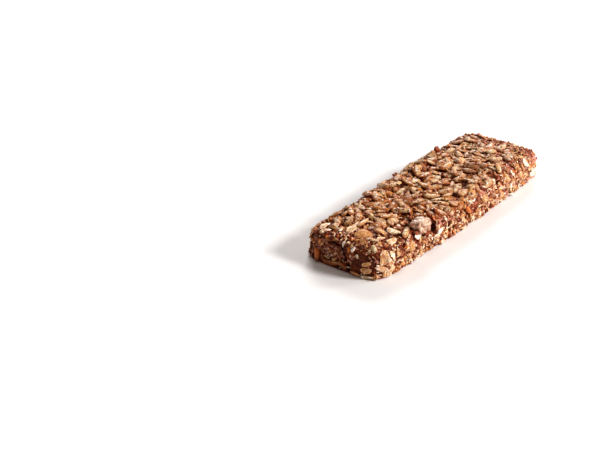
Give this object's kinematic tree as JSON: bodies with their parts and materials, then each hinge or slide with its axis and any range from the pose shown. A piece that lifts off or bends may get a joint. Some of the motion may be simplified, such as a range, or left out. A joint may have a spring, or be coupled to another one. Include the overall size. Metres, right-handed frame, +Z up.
{
  "type": "rye bread bar",
  "caption": "Slim hand-cut snack bar of pressed rye crumb and dates, shingled on top with sunflower kernels and set round its sides with oat flakes; lies flat to be served or packed.",
  "frame": {"origin": "centre of the bar's footprint, on the surface it lies on", "axes": "+X along the bar to its lower, skew-cut end, +Y across it to its left long side, +Z up through the kernels on top"},
  "size_m": [0.147, 0.0503, 0.0186],
  "materials": {
    "rye_mass": "sticky dark red-brown rye and date crumb, with glossy spots",
    "sunflower_kernel": "toasted sunflower kernel, grey-tan under a thin brown glaze",
    "oat_flake": "rolled oat flake, pale cream to toasted",
    "linseed": "golden linseed, smooth and shiny",
    "sesame": "hulled sesame seed, off-white",
    "almond": "chopped almond, cream cut faces with orange-brown skin",
    "date": "glazed date piece, pink-brown and wet",
    "rye_crumb": "loose crumb of the same mass"
  },
  "bodies": {
    "root": {"bar": "rye_mass"}
  },
  "joints": []
}
